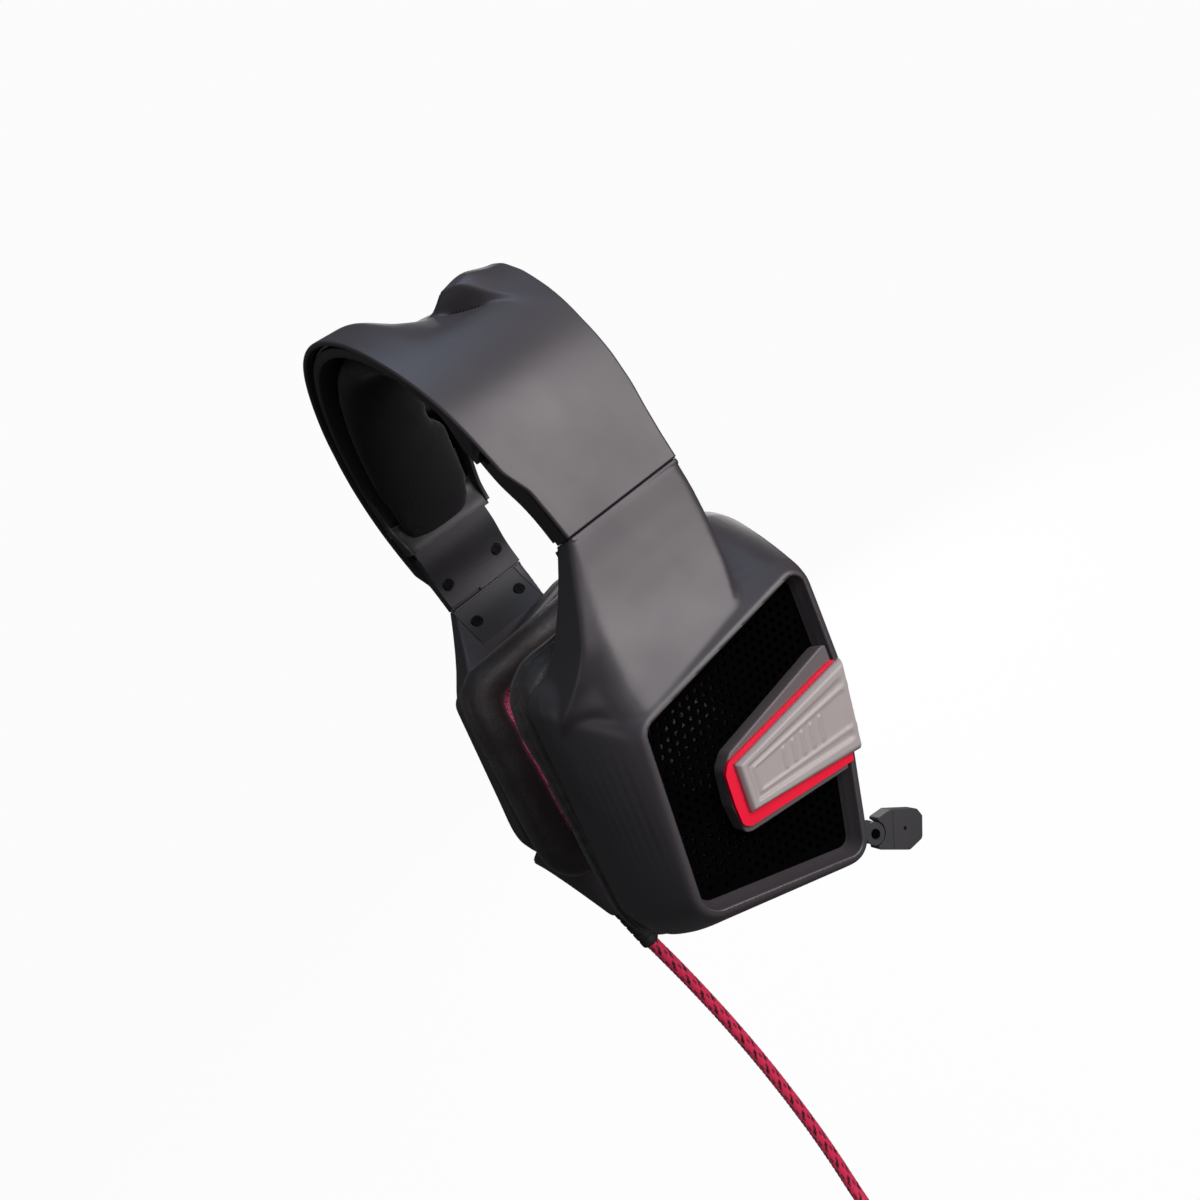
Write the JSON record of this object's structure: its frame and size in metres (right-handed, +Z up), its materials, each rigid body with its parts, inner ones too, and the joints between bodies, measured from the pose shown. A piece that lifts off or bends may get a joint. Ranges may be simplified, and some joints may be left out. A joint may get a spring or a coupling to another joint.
{
  "type": "gaming headset",
  "caption": "Closed-back gaming headset: sliding cups with leatherette cushions, padded arched band, folding boom microphone with hinged tip, braided cable with plug.",
  "frame": {"origin": "on the wearer's centre line, midway between the two ear cushions, level with the speaker drivers", "axes": "+X from the right ear to the left ear, +Z up from the ears to the crown, -Y the way the wearer faces"},
  "size_m": [0.1985, 0.1624, 0.4997],
  "materials": {
    "shell_plastic": "satin charcoal moulding with a fine spark texture",
    "inner_plastic": "matte black moulding",
    "pad_fabric": "black woven fabric over foam",
    "cushion_leather": "soft black leatherette",
    "speaker_cloth": "crimson open mesh",
    "grille_black": "black perforated sheet",
    "insert_dark": "satin dark grey",
    "insert_crimson": "satin crimson",
    "insert_light": "satin warm light grey",
    "strip_steel": "brushed",
    "spring_steel": "bright spring steel",
    "screw_black": "black oxide",
    "driver_plastic": "matte",
    "magnet_metal": "nickel plated",
    "cone_film": "translucent film",
    "board_green": "solder mask green",
    "mic_plastic": "satin charcoal",
    "mic_can": "bright",
    "relief_rubber": "matte",
    "cable_braid": "crimson and black braid",
    "tie_fabric": "black hook and loop",
    "plug_plastic": "satin black",
    "plug_gold": "gold plated"
  },
  "bodies": {
    "headband": {"headband_shell": "shell_plastic", "headband_frame": "inner_plastic", "headband_spring": "spring_steel", "headband_pad": "pad_fabric", "left_end_cover": "inner_plastic", "left_end_screws": "screw_black", "right_end_cover": "inner_plastic", "right_end_screws": "screw_black"},
    "right_cup": {"right_shroud": "shell_plastic", "right_slider_strip": "strip_steel", "right_arm_cover": "inner_plastic", "right_arm_screws": "screw_black", "right_grille": "grille_black", "right_insert_base": "insert_dark", "right_insert_trim": "insert_crimson", "right_insert_cap": "insert_light", "right_baffle": "inner_plastic", "right_driver_basket": "driver_plastic", "right_driver_magnet": "magnet_metal", "right_driver_diaphragm": "cone_film", "right_speaker_cloth": "speaker_cloth", "right_ear_cushion": "cushion_leather"},
    "left_cup": {"left_shroud": "shell_plastic", "left_slider_strip": "strip_steel", "left_arm_cover": "inner_plastic", "left_arm_screws": "screw_black", "left_grille": "grille_black", "left_insert_base": "insert_dark", "left_insert_trim": "insert_crimson", "left_insert_cap": "insert_light", "left_baffle": "inner_plastic", "left_driver_basket": "driver_plastic", "left_driver_magnet": "magnet_metal", "left_driver_diaphragm": "cone_film", "left_speaker_cloth": "speaker_cloth", "left_ear_cushion": "cushion_leather", "left_circuit_board": "board_green", "cable_strain_relief": "relief_rubber", "cable": "cable_braid", "cable_tail": "cable_braid", "cable_coil": "cable_braid", "cable_tie": "tie_fabric", "plug_body": "plug_plastic", "plug_pin": "plug_gold"},
    "mic_boom": {"mic_boom": "mic_plastic"},
    "mic_capsule": {"mic_capsule": "mic_plastic", "mic_hinge_pin": "screw_black", "mic_element": "mic_can"}
  },
  "joints": [
    {"name": "right_slider", "type": "slide", "parent": "headband", "child": "right_cup", "axis": [-0.119, 0, -0.9929], "range_m": [0, 0.028]},
    {"name": "left_slider", "type": "slide", "parent": "headband", "child": "left_cup", "axis": [0.119, 0, -0.9929], "range_m": [0, 0.028]},
    {"name": "mic_boom_hinge", "type": "hinge", "parent": "left_cup", "child": "mic_boom", "pos_m": [0.095, -0.034, -0.027], "axis": [-1, 0, 0], "range_deg": [-20, 105]},
    {"name": "mic_capsule_hinge", "type": "hinge", "parent": "mic_boom", "child": "mic_capsule", "pos_m": [0.075, -0.094, -0.144], "axis": [1, 0, 0], "range_deg": [-45, 30]}
  ]
}
